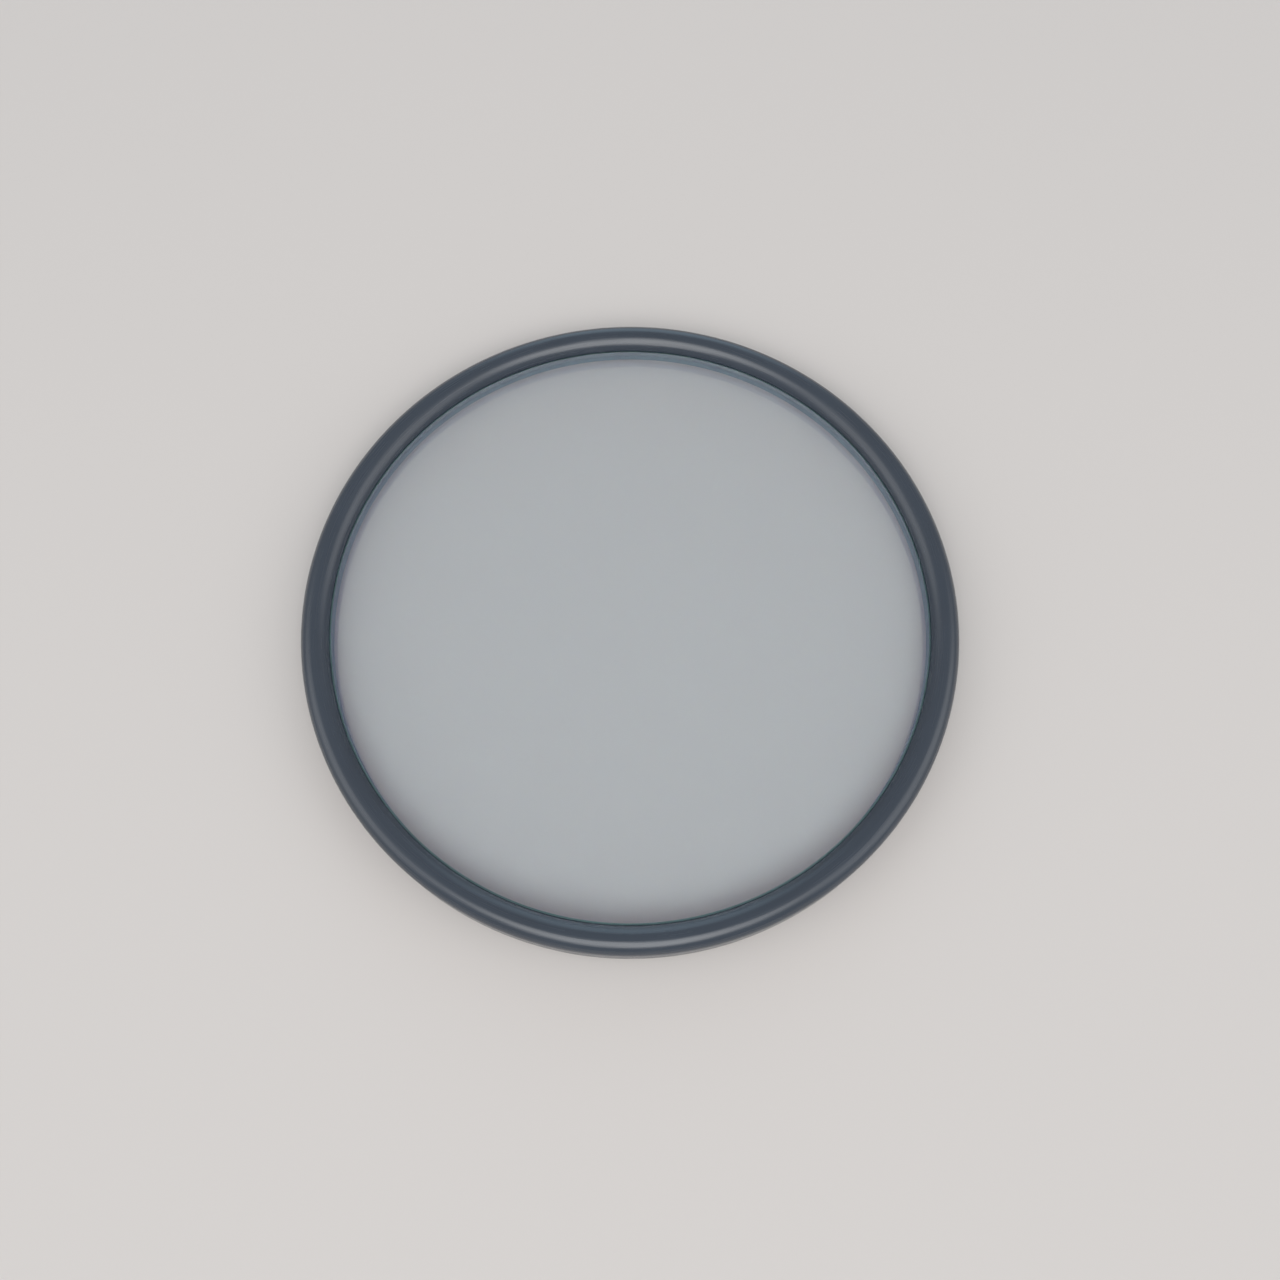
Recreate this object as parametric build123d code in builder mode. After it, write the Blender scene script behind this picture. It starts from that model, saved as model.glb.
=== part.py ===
from build123d import *
from math import radians, tan
import os

# Round mounted optical bandpass filter: a coated glass disc rolled into a black anodised ring.
# Sizes are millimetres. The origin is the centre of the ring's flat rear face, and +Z points
# out of the front, the side whose rim is crowned.

# Mount ring
ring_diameter = 50.0        # outside of the ring, which slides into a holder
ring_wall = 2.0             # from the outside to the bore that takes the glass
shoulder_radius = 1.0       # rounding of the rim's outer half, up to the crest
front_recess = 0.75         # from the rim's crest down to the glass's front face
rear_recess = 0.75          # from the glass's rear face down to the ring's rear face
rear_chamfer = 0.25         # outer edge of the rear face
lip_overlap = 0.12          # how far each lip reaches over the glass's bevel
lip_edge = 0.10             # thickness of each lip at its tip
flare_angle = 45.0          # slope of the recess behind the glass, from the axis

# Filter glass
glass_thickness = 2.0
glass_clearance = 0.05      # between the glass's edge and the bore, all round
glass_bevel = 0.25          # 45 degree bevel ground on both faces

# Radii that both pieces share
ring_radius = ring_diameter / 2
bore_radius = ring_radius - ring_wall
glass_radius = bore_radius - glass_clearance
glass_flat_radius = glass_radius - glass_bevel
lip_radius = glass_radius - lip_overlap
crest_radius = ring_radius - shoulder_radius

# Heights above the rear face
glass_rear = rear_recess
glass_front = glass_rear + glass_thickness
ring_height = glass_front + front_recess

# Both lips bear on a bevel, which leaves the glass's face at 45 degrees, so a point of it lies
# as far behind the face as it lies outside the flat part of the disc.
lip_depth = lip_radius - glass_flat_radius
bore_depth = bore_radius - glass_flat_radius
front_lip_seat = glass_front - lip_depth
rear_lip_seat = glass_rear + lip_depth
rear_lip_bottom = rear_lip_seat - lip_edge
flare_radius = lip_radius + rear_lip_bottom * tan(radians(flare_angle))

os.makedirs("parts", exist_ok=True)

# The glass is a flat disc, and both of its faces carry the same fine bevel.
with BuildPart() as filter_glass:
    with BuildSketch(Plane.XY.offset(glass_rear)):
        Circle(glass_radius)
    extrude(amount=glass_thickness)
    chamfer(filter_glass.edges().filter_by(GeomType.CIRCLE), length=glass_bevel)

# The ring is its half section turned about the axis: the flat rear face and the outside wall,
# the crowned rim down to the tip of the front lip, the groove that grips the disc between two
# conical seats, and the flared recess behind it.
with BuildPart() as mount_ring:
    with BuildSketch(Plane.XZ):
        with BuildLine():
            wall = Polyline(
                (flare_radius, 0),
                (ring_radius - rear_chamfer, 0),
                (ring_radius, rear_chamfer),
                (ring_radius, ring_height - shoulder_radius),
            )
            shoulder = TangentArc(wall @ 1, (crest_radius, ring_height), tangent=(0, 1))
            rim = TangentArc(shoulder @ 1, (lip_radius, front_lip_seat + lip_edge), tangent=(-1, 0))
            Polyline(
                rim @ 1,
                (lip_radius, front_lip_seat),
                (bore_radius, glass_front - bore_depth),
                (bore_radius, glass_rear + bore_depth),
                (lip_radius, rear_lip_seat),
                (lip_radius, rear_lip_bottom),
                (flare_radius, 0),
            )
        make_face()
    revolve(axis=Axis.Z)

filter_glass.part.label = "filter_glass"
mount_ring.part.label = "mount_ring"
export_step(filter_glass.part, "parts/filter_glass.step")
export_step(mount_ring.part, "parts/mount_ring.step")
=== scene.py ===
from math import asin, cos, pi, radians, sin, tan

import bpy
from bpy.props import FloatProperty, FloatVectorProperty, IntProperty, PointerProperty, StringProperty
from mathutils import Matrix, Vector


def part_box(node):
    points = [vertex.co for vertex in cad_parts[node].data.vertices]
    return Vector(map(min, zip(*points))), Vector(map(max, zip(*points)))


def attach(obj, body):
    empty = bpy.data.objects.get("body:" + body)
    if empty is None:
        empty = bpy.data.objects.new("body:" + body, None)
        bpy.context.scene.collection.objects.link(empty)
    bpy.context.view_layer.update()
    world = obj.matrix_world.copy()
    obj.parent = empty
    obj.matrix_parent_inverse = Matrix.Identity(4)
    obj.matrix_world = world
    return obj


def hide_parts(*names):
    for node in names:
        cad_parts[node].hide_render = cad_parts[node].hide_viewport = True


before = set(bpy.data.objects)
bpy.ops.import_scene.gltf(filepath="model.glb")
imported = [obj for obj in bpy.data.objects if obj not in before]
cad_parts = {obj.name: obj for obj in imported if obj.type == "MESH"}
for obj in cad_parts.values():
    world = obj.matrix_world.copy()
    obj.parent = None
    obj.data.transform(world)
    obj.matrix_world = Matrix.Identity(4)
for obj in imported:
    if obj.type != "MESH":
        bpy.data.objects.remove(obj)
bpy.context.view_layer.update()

bl_info = {
    "name": "Mounted optical bandpass filter",
    "version": (1, 0, 0),
    "blender": (4, 5, 0),
    "location": "View3D > Sidebar > Optical filter",
    "description": "Builds a round bandpass filter: a coated glass disc rolled into a black anodised ring",
    "category": "Add Mesh",
}

MM = 0.001

# The frame gives the outside of both pieces, and the property groups give every other size.
_, ring_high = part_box("mount_ring")
glass_low, glass_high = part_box("filter_glass")

ROUND_STEPS = 256            # facets round every turned piece
CROWN_STEPS = 16             # facets across each half of the crowned rim
EDGE_STEPS = 3               # facets across each broken edge
WELD = 0.001 * MM            # points closer than this are one
SMOOTH_BELOW = radians(25)   # edges sharper than this stay sharp
NEAREST_SEEN = 1 * MM        # the camera sees nothing closer than this


# Sizes and colours

class MountRingSettings(bpy.types.PropertyGroup):
    radius: FloatProperty(
        name="Radius", description="Outside of the ring",
        default=ring_high.x, unit="LENGTH")
    height: FloatProperty(
        name="Height", description="From the rear face to the rim's crest",
        default=ring_high.z, unit="LENGTH")
    wall: FloatProperty(
        name="Wall", description="From the outside to the bore that takes the glass",
        default=2.0 * MM, unit="LENGTH")
    shoulder: FloatProperty(
        name="Shoulder", description="Rounding of the rim's outer half",
        default=1.0 * MM, unit="LENGTH")
    rear_chamfer: FloatProperty(
        name="Rear chamfer", description="Outer edge of the rear face",
        default=0.25 * MM, unit="LENGTH")
    lip_overlap: FloatProperty(
        name="Lip overlap", description="How far each lip reaches over the glass's bevel",
        default=0.12 * MM, unit="LENGTH")
    lip_edge: FloatProperty(
        name="Lip edge", description="Thickness of each lip at its tip",
        default=0.10 * MM, unit="LENGTH")
    flare: FloatProperty(
        name="Flare", description="Slope of the recess behind the glass, from the axis",
        default=radians(45), subtype="ANGLE")
    edge_break: FloatProperty(
        name="Edge break", description="Rounding of the turned edges",
        default=0.03 * MM, unit="LENGTH")
    colour: StringProperty(
        name="Colour", description="sRGB hex of the dyed anodic layer",
        default="#323b46")


class FilterGlassSettings(bpy.types.PropertyGroup):
    radius: FloatProperty(
        name="Radius", description="Edge of the disc",
        default=glass_high.x, unit="LENGTH")
    bevel: FloatProperty(
        name="Bevel", description="45 degree bevel ground on both faces",
        default=0.25 * MM, unit="LENGTH")
    seat_gap: FloatProperty(
        name="Seat gap", description="Air between the bevels and the lips, so that no two faces coincide",
        default=0.01 * MM, unit="LENGTH")
    tint: StringProperty(
        name="Tint", description="sRGB hex that light takes on crossing the disc once",
        default="#eff1f3")
    ground: StringProperty(
        name="Ground edge", description="sRGB hex of the ground edge and bevels",
        default="#5f7b7e")


class StageSettings(bpy.types.PropertyGroup):
    floor: StringProperty(
        name="Floor", description="sRGB hex of the paper",
        default="#d2cdc9")
    floor_radius: FloatProperty(
        name="Floor radius", description="Radius of the sheet of paper",
        default=0.45, unit="LENGTH")
    floor_gap: FloatProperty(
        name="Floor gap", description="Keeps the paper clear of the ring's rear face",
        default=0.01 * MM, unit="LENGTH")
    sky: StringProperty(
        name="Sky", description="sRGB hex of the even light all round",
        default="#f4f6fa")
    fill: FloatProperty(
        name="Fill", description="Strength of the even light all round",
        default=0.45)
    backdrop: FloatProperty(
        name="Backdrop", description="How bright the paper's colour shows beyond the sheet",
        default=0.9)
    key_power: FloatProperty(
        name="Key", description="Power of the soft light above and behind the camera",
        default=5.0, unit="POWER")
    key_size: FloatProperty(
        name="Key size", description="Side of that light",
        default=0.7, unit="LENGTH")
    key_place: FloatVectorProperty(
        name="Key place", description="Its middle, from the part's origin",
        default=(0.0, -0.30, 0.52), subtype="TRANSLATION")
    side_power: FloatProperty(
        name="Side", description="Power of each soft light at the side",
        default=2.6, unit="POWER")
    side_size: FloatProperty(
        name="Side size", description="Side of each of them",
        default=0.9, unit="LENGTH")
    side_place: FloatVectorProperty(
        name="Side place", description="Middle of the right one, mirrored for the left one",
        default=(0.5, -0.1, 0.4), subtype="TRANSLATION")
    far_power: FloatProperty(
        name="Far", description="Power of the low, cool light beyond the part, like a far window",
        default=2.4, unit="POWER")
    far_size: FloatProperty(
        name="Far size", description="Side of that light",
        default=0.8, unit="LENGTH")
    far_place: FloatVectorProperty(
        name="Far place", description="Its middle, from the part's origin",
        default=(0.0, 0.65, 0.2), subtype="TRANSLATION")
    far_colour: StringProperty(
        name="Far colour", description="sRGB hex of that light",
        default="#bcdcf0")
    camera_place: FloatVectorProperty(
        name="Camera", description="Camera from the centre of the rim, at the foot of its shoulder",
        default=(0.75 * MM, -32.4 * MM, 101.8 * MM), subtype="TRANSLATION")
    camera_tilt: FloatProperty(
        name="Tilt", description="Camera's axis from straight down",
        default=radians(16.89), subtype="ANGLE")
    camera_roll: FloatProperty(
        name="Roll", description="Camera about its own axis",
        default=radians(0.75), subtype="ANGLE")
    focal_pixels: FloatProperty(
        name="Focal length", description="In pixels of the photograph's frame",
        default=1402.0)
    frame_pixels: IntProperty(
        name="Frame", description="Side of the photograph's frame in pixels",
        default=1280)


# Materials

def linear(hex_colour):
    """sRGB hex to the linear colour that a shader takes."""
    values = [int(hex_colour[i:i + 2], 16) / 255 for i in (1, 3, 5)]
    return [v / 12.92 if v <= 0.04045 else ((v + 0.055) / 1.055) ** 2.4 for v in values] + [1.0]


def shaded(colour, change):
    """A linear colour made lighter or darker by a share of itself."""
    return [c * (1 + change) for c in colour[:3]] + [1.0]


def new_material(name):
    """A material with an empty node tree, and that tree."""
    material = bpy.data.materials.new(name)
    material.use_nodes = True
    material.node_tree.nodes.clear()
    return material, material.node_tree


def add_node(tree, kind, settings=None, values=None, links=None):
    """One node with its settings, its socket values and its links from other nodes' sockets."""
    node = tree.nodes.new(kind)
    for key, value in (settings or {}).items():
        setattr(node, key, value)
    for key, value in (values or {}).items():
        node.inputs[key].default_value = value
    for key, source in (links or {}).items():
        tree.links.new(source, node.inputs[key])
    return node


def object_place(tree):
    """The place on the piece, in metres from the part's origin."""
    return add_node(tree, "ShaderNodeTexCoord").outputs["Object"]


def noise(tree, grain, detail):
    """Even noise, with spots of the given size."""
    spots = add_node(tree, "ShaderNodeTexNoise",
                     values={"Scale": 1 / grain, "Detail": detail},
                     links={"Vector": object_place(tree)})
    return spots.outputs["Fac"]


def turned_lines(tree, pitch, length):
    """Noise drawn out along the turning: fine across the section, and long round the axis."""
    parts = add_node(tree, "ShaderNodeSeparateXYZ", links={"Vector": object_place(tree)})
    across = add_node(tree, "ShaderNodeCombineXYZ",
                      links={"X": parts.outputs["X"], "Y": parts.outputs["Y"]})
    radius = add_node(tree, "ShaderNodeVectorMath", {"operation": "LENGTH"},
                      links={"Vector": across.outputs["Vector"]})
    heading = add_node(tree, "ShaderNodeVectorMath", {"operation": "NORMALIZE"},
                       links={"Vector": across.outputs["Vector"]})
    # One unit of the noise is one pitch across the section and one line's length round the ring.
    round_the_axis = add_node(tree, "ShaderNodeVectorMath", {"operation": "SCALE"},
                              {"Scale": ring_high.x / length}, {"Vector": heading.outputs["Vector"]})
    outwards = add_node(tree, "ShaderNodeMath", {"operation": "DIVIDE"},
                        {1: pitch}, {0: radius.outputs["Value"]})
    upwards = add_node(tree, "ShaderNodeMath", {"operation": "DIVIDE"},
                       {1: pitch}, {0: parts.outputs["Z"]})
    step_out = add_node(tree, "ShaderNodeCombineXYZ", links={"Z": outwards.outputs["Value"]})
    section = add_node(tree, "ShaderNodeVectorMath", {"operation": "ADD"},
                       links={0: round_the_axis.outputs["Vector"], 1: step_out.outputs["Vector"]})
    lines = add_node(tree, "ShaderNodeTexNoise", {"noise_dimensions": "4D"},
                     {"Scale": 1.0, "Detail": 2.0},
                     {"Vector": section.outputs["Vector"], "W": upwards.outputs["Value"]})
    return lines.outputs["Fac"]


def relief(tree, height, strength, depth, under=None):
    """A bump of the given depth, laid over the normal of another where one is given."""
    links = {"Height": height}
    if under:
        links["Normal"] = under
    bump = add_node(tree, "ShaderNodeBump", values={"Strength": strength, "Distance": depth}, links=links)
    return bump.outputs["Normal"]


def finish_material(tree, surface):
    """Sends the shader to the material's output."""
    add_node(tree, "ShaderNodeOutputMaterial", links={"Surface": surface})


def anodised_aluminium(colour):
    """Turned aluminium, etched and dyed in the anodising bath: an even satin black with a blue cast.
    The etch leaves a fine dull grain. Under it the turning still shows as faint lines along the
    ring, which break up the highlight on its rim."""
    material, tree = new_material("Black anodised aluminium")
    # A finishing cut feeds about 0.05 mm a turn. It is drawn three times as coarse, so that it shows.
    lines = turned_lines(tree, pitch=0.16 * MM, length=5 * MM)
    # The dye takes a little unevenly from one patch to the next.
    dye = noise(tree, grain=6 * MM, detail=2.0)
    base = linear(colour)
    patchiness = 0.15
    shade = add_node(tree, "ShaderNodeMix", {"data_type": "RGBA"},
                     {"A": shaded(base, -patchiness), "B": shaded(base, patchiness)}, {"Factor": dye})
    # The bottoms of the lines keep more polish than their crests.
    rough = add_node(tree, "ShaderNodeMapRange",
                     values={"From Min": 0.3, "From Max": 0.7, "To Min": 0.20, "To Max": 0.30},
                     links={"Value": lines})
    turned = relief(tree, lines, strength=0.4, depth=0.02 * MM)
    # The etch's own grain of some 0.02 mm is too fine to show, so it is drawn at 0.12 mm.
    etched = relief(tree, noise(tree, grain=0.12 * MM, detail=3.0), strength=0.15, depth=0.01 * MM,
                    under=turned)
    # The sealed oxide layer is denser than glass, so it reflects a little more.
    shader = add_node(tree, "ShaderNodeBsdfPrincipled", values={"IOR": 1.65},
                      links={"Base Color": shade.outputs["Result"], "Roughness": rough.outputs["Result"],
                             "Normal": etched})
    finish_material(tree, shader.outputs["BSDF"])
    return material


def coated_glass(tint):
    """Polished optical glass with a hard interference coating on both faces. The coating takes about
    a third of the light, a little more of the red, and gives what the disc reflects a faint
    lavender sheen."""
    material, tree = new_material("Coated optical glass")
    # A bloom too faint to see by itself, which softens what the faces reflect in patches.
    rough = add_node(tree, "ShaderNodeMapRange",
                     values={"From Min": 0.45, "To Min": 0.0, "To Max": 0.03},
                     links={"Value": noise(tree, grain=8 * MM, detail=4.0)})
    # The film stands for the coating's last high-index layer, 130 nanometres of titania.
    shader = add_node(tree, "ShaderNodeBsdfPrincipled",
                      values={"Base Color": linear(tint), "IOR": 1.52, "Transmission Weight": 1.0,
                              "Thin Film Thickness": 130.0, "Thin Film IOR": 2.1},
                      links={"Roughness": rough.outputs["Result"]})
    # Light from the lamps crosses the disc straight, and each face weakens it on its way to the paper.
    path = add_node(tree, "ShaderNodeLightPath")
    clear = add_node(tree, "ShaderNodeBsdfTransparent", values={"Color": linear(tint)})
    pane = add_node(tree, "ShaderNodeMixShader",
                    links={0: path.outputs["Is Shadow Ray"], 1: shader.outputs["BSDF"],
                           2: clear.outputs["BSDF"]})
    finish_material(tree, pane.outputs["Shader"])
    return material


def ground_glass(colour):
    """The disc's edge and bevels, ground with fine grit and left uncoated: a matt grey-green frost
    against the black of the groove, seen through the front face as a band along the far rim."""
    material, tree = new_material("Ground glass edge")
    # The grit leaves pits of about 0.04 mm, drawn twice as coarse so that they show.
    pits = relief(tree, noise(tree, grain=0.08 * MM, detail=2.0), strength=0.2, depth=0.01 * MM)
    # Chips left by coarser grit are a shade lighter than the rest.
    base = linear(colour)
    unevenness = 0.2
    frost = add_node(tree, "ShaderNodeMix", {"data_type": "RGBA"},
                     {"A": shaded(base, -unevenness), "B": shaded(base, unevenness)},
                     {"Factor": noise(tree, grain=0.5 * MM, detail=4.0)})
    shader = add_node(tree, "ShaderNodeBsdfPrincipled",
                      values={"Roughness": 0.6, "IOR": 1.52, "Transmission Weight": 0.2},
                      links={"Base Color": frost.outputs["Result"], "Normal": pits})
    finish_material(tree, shader.outputs["BSDF"])
    return material


def paper(colour):
    """A sheet of plain white paper, matt, with the faint tooth of its fibres."""
    material, tree = new_material("White paper")
    fibres = relief(tree, noise(tree, grain=0.6 * MM, detail=4.0), strength=0.08, depth=0.02 * MM)
    shader = add_node(tree, "ShaderNodeBsdfPrincipled",
                      values={"Base Color": linear(colour), "Roughness": 0.9, "Specular IOR Level": 0.2},
                      links={"Normal": fibres})
    finish_material(tree, shader.outputs["BSDF"])
    return material


# Turned shapes

def arc(centre, radius, start, end):
    """Points of a circular arc in the half section, as (radius, height) pairs."""
    angles = [start + (end - start) * i / CROWN_STEPS for i in range(CROWN_STEPS + 1)]
    return [(centre[0] + radius * cos(a), centre[1] + radius * sin(a)) for a in angles]


def turn(name, outline):
    """An open shell turned about the Z axis. A circle at the outline's first point is extruded to
    every next point and scaled to its radius. The shell is left in edit mode."""
    radius, height = outline[0]
    bpy.ops.object.select_all(action="DESELECT")
    bpy.ops.mesh.primitive_circle_add(vertices=ROUND_STEPS, radius=radius, location=(0, 0, height))
    piece = bpy.context.object
    piece.name = piece.data.name = name
    bpy.ops.object.transform_apply(location=True, rotation=True, scale=True)
    bpy.ops.object.mode_set(mode="EDIT")
    bpy.ops.mesh.select_mode(type="VERT")
    bpy.ops.mesh.select_all(action="SELECT")
    for next_radius, next_height in outline[1:]:
        lift = (0, 0, next_height - height)
        scale = next_radius / radius
        bpy.ops.mesh.extrude_region_move(TRANSFORM_OT_translate={"value": lift})
        bpy.ops.transform.resize(value=(scale, scale, 1), center_override=(0, 0, next_height))
        radius, height = next_radius, next_height
    return piece


def cap_ends():
    """Closes both open ends of a turned shell with flat faces."""
    bpy.ops.mesh.edge_face_add()
    bpy.ops.mesh.select_all(action="DESELECT")
    bpy.ops.mesh.select_non_manifold(extend=False, use_boundary=True)
    bpy.ops.mesh.edge_face_add()


def finish_shell(piece):
    """Joins the points that meet, points every face outwards and makes sure that the shell is closed."""
    bpy.ops.mesh.select_all(action="SELECT")
    bpy.ops.mesh.remove_doubles(threshold=WELD)
    bpy.ops.mesh.normals_make_consistent(inside=False)
    bpy.ops.mesh.select_all(action="DESELECT")
    bpy.ops.mesh.select_non_manifold(extend=False)
    bpy.ops.object.mode_set(mode="OBJECT")
    if any(point.select for point in piece.data.vertices):
        raise RuntimeError(piece.name + " isn't a closed shell")


def break_edges(piece, width):
    """Rounds the turned edges a little, as the tool leaves them."""
    edges = piece.modifiers.new("edge_break", "BEVEL")
    edges.width = width
    edges.segments = EDGE_STEPS
    edges.limit_method = "ANGLE"
    edges.angle_limit = SMOOTH_BELOW
    bpy.ops.object.modifier_apply(modifier=edges.name)


def ring_section(ring, glass):
    """The ring's half section: from the rear face up the outside, over the crowned rim, down to
    the front lip, through the groove that grips the glass and out along the flared recess."""
    bore = ring.radius - ring.wall
    crest = ring.radius - ring.shoulder
    lip = glass.radius - ring.lip_overlap
    glass_flat = glass.radius - glass.bevel
    # A point of the 45 degree bevel lies as far behind the face as it lies outside the flat.
    lip_depth = lip - glass_flat - glass.seat_gap
    bore_depth = bore - glass_flat - glass.seat_gap
    front_tip = glass_high.z - lip_depth + ring.lip_edge
    rear_tip = glass_low.z + lip_depth - ring.lip_edge
    flare = lip + rear_tip * tan(ring.flare)
    # The rim's inner half leaves the crest level and ends at the front lip's tip.
    across = crest - lip
    down = ring.height - front_tip
    inner_radius = (across ** 2 + down ** 2) / (2 * down)
    inner_end = pi / 2 + asin(across / inner_radius)
    outer_half = arc((crest, ring.height - ring.shoulder), ring.shoulder, 0, pi / 2)
    inner_half = arc((crest, ring.height - inner_radius), inner_radius, pi / 2, inner_end)
    return [
        (flare, 0),
        (ring.radius - ring.rear_chamfer, 0),
        (ring.radius, ring.rear_chamfer),
        *outer_half,
        *inner_half[1:],
        (lip, glass_high.z - lip_depth),
        (bore, glass_high.z - bore_depth),
        (bore, glass_low.z + bore_depth),
        (lip, glass_low.z + lip_depth),
        (lip, rear_tip),
        (flare, 0),
    ]


class FILTER_OT_mount_ring(bpy.types.Operator):
    """Turn the black anodised ring with its crowned rim and the groove that grips the glass"""
    bl_idname = "optical_filter.mount_ring"
    bl_label = "Mount ring"

    def execute(self, context):
        ring = context.scene.mount_ring
        piece = turn("mount_ring_turned", ring_section(ring, context.scene.filter_glass))
        finish_shell(piece)
        break_edges(piece, ring.edge_break)
        bpy.ops.object.shade_smooth_by_angle(angle=SMOOTH_BELOW)
        piece.data.materials.append(anodised_aluminium(ring.colour))
        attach(piece, "root")
        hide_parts("mount_ring")
        return {"FINISHED"}


class FILTER_OT_filter_glass(bpy.types.Operator):
    """Make the coated glass disc with its ground edge and bevels"""
    bl_idname = "optical_filter.filter_glass"
    bl_label = "Filter glass"

    def execute(self, context):
        glass = context.scene.filter_glass
        flat = glass.radius - glass.bevel
        piece = turn("filter_glass_disc", [
            (flat, glass_low.z),
            (glass.radius, glass_low.z + glass.bevel),
            (glass.radius, glass_high.z - glass.bevel),
            (flat, glass_high.z),
        ])
        cap_ends()
        finish_shell(piece)
        bpy.ops.object.shade_smooth_by_angle(angle=SMOOTH_BELOW)
        # The two flat faces are coated, and every other face is ground.
        coated, ground = 0, 1
        piece.data.materials.append(coated_glass(glass.tint))
        piece.data.materials.append(ground_glass(glass.ground))
        for face in piece.data.polygons:
            is_flat = abs(face.normal.z) > cos(SMOOTH_BELOW)
            face.material_index = coated if is_flat else ground
        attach(piece, "root")
        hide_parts("filter_glass")
        return {"FINISHED"}


# Stage

def soft_light(name, place, size, power, colour="#ffffff"):
    """A square soft light that faces the part and fades from its middle to nothing at its rim. It
    adds to the even light behind it, so no edge of it shows in the glass."""
    lamp = bpy.data.lights.new(name, "AREA")
    lamp.size = size
    lamp.energy = power
    lamp.use_nodes = True
    tree = lamp.node_tree
    tree.nodes.clear()
    # Both parametric coordinates run from 0 to 1 across the lamp, so its rim is a half from its middle.
    rim = 0.5
    full_up_to = 0.15
    on_lamp = add_node(tree, "ShaderNodeNewGeometry").outputs["Parametric"]
    from_middle = add_node(tree, "ShaderNodeVectorMath", {"operation": "DISTANCE"},
                           {1: (rim, rim, 0.0)}, {0: on_lamp})
    fade = add_node(tree, "ShaderNodeMapRange", {"interpolation_type": "SMOOTHSTEP"},
                    {"From Min": full_up_to, "From Max": rim, "To Min": 1.0, "To Max": 0.0},
                    {"Value": from_middle.outputs["Value"]})
    glow = add_node(tree, "ShaderNodeEmission", values={"Color": linear(colour)},
                    links={"Strength": fade.outputs["Result"]})
    add_node(tree, "ShaderNodeOutputLight", links={"Surface": glow.outputs["Emission"]})
    light = bpy.data.objects.new(name, lamp)
    bpy.context.scene.collection.objects.link(light)
    light.location = place
    light.rotation_euler = (-Vector(place)).to_track_quat("-Z", "Y").to_euler()


def even_light(stage):
    """The same soft light from all round. The camera sees the paper's own colour beyond the sheet."""
    world = bpy.data.worlds.new("Even light")
    world.use_nodes = True
    tree = world.node_tree
    tree.nodes.clear()
    path = add_node(tree, "ShaderNodeLightPath")
    even = add_node(tree, "ShaderNodeBackground",
                    values={"Color": linear(stage.sky), "Strength": stage.fill})
    seen = add_node(tree, "ShaderNodeBackground",
                    values={"Color": linear(stage.floor), "Strength": stage.backdrop})
    mix = add_node(tree, "ShaderNodeMixShader",
                   links={0: path.outputs["Is Camera Ray"], 1: even.outputs["Background"],
                          2: seen.outputs["Background"]})
    add_node(tree, "ShaderNodeOutputWorld", links={"Surface": mix.outputs["Shader"]})
    return world


def stand_camera(scene, stage):
    """The camera as it was solved from the photograph."""
    lens = bpy.data.cameras.new("camera")
    lens.lens = lens.sensor_width * stage.focal_pixels / stage.frame_pixels
    lens.clip_start = NEAREST_SEEN
    camera = bpy.data.objects.new("camera", lens)
    scene.collection.objects.link(camera)
    shoulder_foot = Vector((0, 0, scene.mount_ring.height - scene.mount_ring.shoulder))
    place = Matrix.Translation(Vector(stage.camera_place) + shoulder_foot)
    tilt = Matrix.Rotation(stage.camera_tilt, 4, "X")
    roll = Matrix.Rotation(stage.camera_roll, 4, "Z")
    camera.matrix_world = place @ tilt @ roll
    bpy.context.scene.camera = camera


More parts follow.
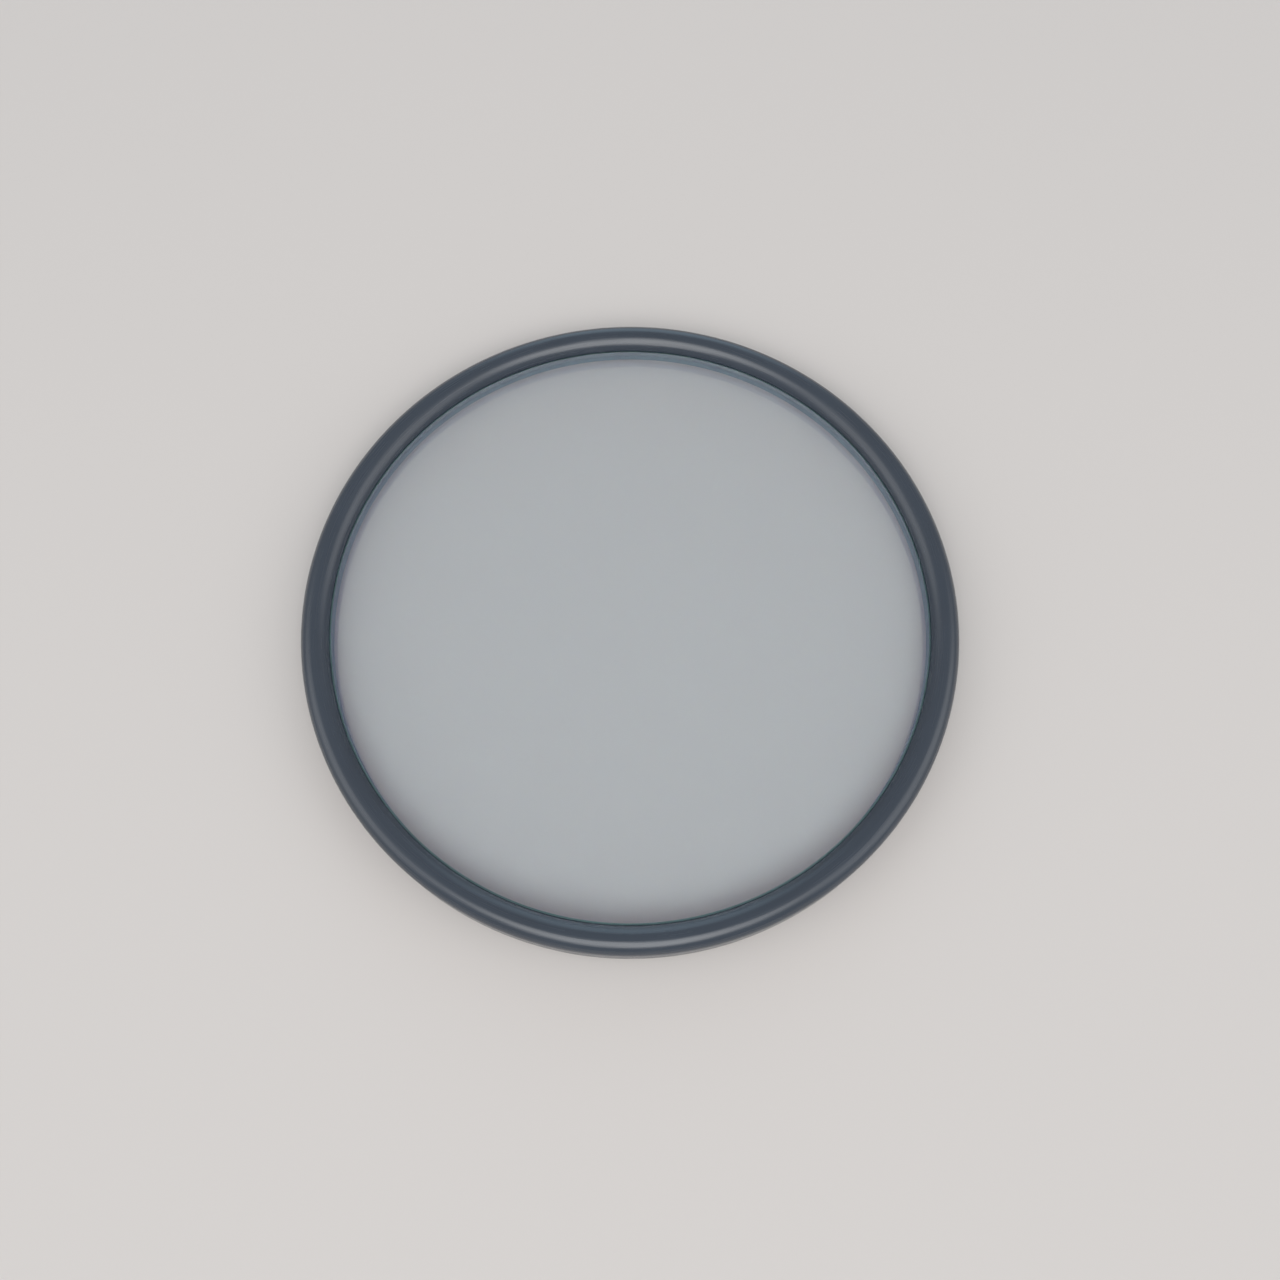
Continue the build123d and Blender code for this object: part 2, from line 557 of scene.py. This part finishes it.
class FILTER_OT_stage(bpy.types.Operator):
    """Lay the paper, set the soft lights and stand the camera over the filter"""
    bl_idname = "optical_filter.stage"
    bl_label = "Stage"

    def execute(self, context):
        stage = context.scene.filter_stage
        bpy.ops.object.select_all(action="DESELECT")
        bpy.ops.mesh.primitive_circle_add(vertices=ROUND_STEPS, radius=stage.floor_radius,
                                          fill_type="NGON", location=(0, 0, -stage.floor_gap))
        floor = context.object
        floor.name = "paper_floor"
        floor.data.materials.append(paper(stage.floor))
        right = Vector(stage.side_place)
        left = Vector((-right.x, right.y, right.z))
        soft_light("key_light", stage.key_place, stage.key_size, stage.key_power)
        soft_light("left_light", left, stage.side_size, stage.side_power)
        soft_light("right_light", right, stage.side_size, stage.side_power)
        soft_light("far_light", stage.far_place, stage.far_size, stage.far_power, stage.far_colour)
        context.scene.world = even_light(stage)
        context.scene.view_settings.view_transform = "Standard"
        stand_camera(context.scene, stage)
        return {"FINISHED"}


# Add-on

class FILTER_PT_panel(bpy.types.Panel):
    """The filter's pieces and their sizes"""
    bl_idname = "FILTER_PT_panel"
    bl_label = "Optical filter"
    bl_space_type = "VIEW_3D"
    bl_region_type = "UI"
    bl_category = "Optical filter"

    def draw(self, context):
        for operator, settings, _ in STEPS:
            box = self.layout.box()
            box.operator(operator.bl_idname)
            group = getattr(context.scene, settings)
            for name in group.__annotations__:
                box.prop(group, name)


# Each operator with the name that its settings have on the scene, and their class.
STEPS = (
    (FILTER_OT_mount_ring, "mount_ring", MountRingSettings),
    (FILTER_OT_filter_glass, "filter_glass", FilterGlassSettings),
    (FILTER_OT_stage, "filter_stage", StageSettings),
)


def register():
    for operator, settings, group in STEPS:
        bpy.utils.register_class(group)
        setattr(bpy.types.Scene, settings, PointerProperty(type=group))
        bpy.utils.register_class(operator)
    bpy.utils.register_class(FILTER_PT_panel)


def unregister():
    bpy.utils.unregister_class(FILTER_PT_panel)
    for operator, settings, group in reversed(STEPS):
        bpy.utils.unregister_class(operator)
        delattr(bpy.types.Scene, settings)
        bpy.utils.unregister_class(group)


def main():
    register()
    bpy.ops.optical_filter.mount_ring()
    bpy.ops.optical_filter.filter_glass()
    bpy.ops.optical_filter.stage()


if __name__ == "__main__":
    main()
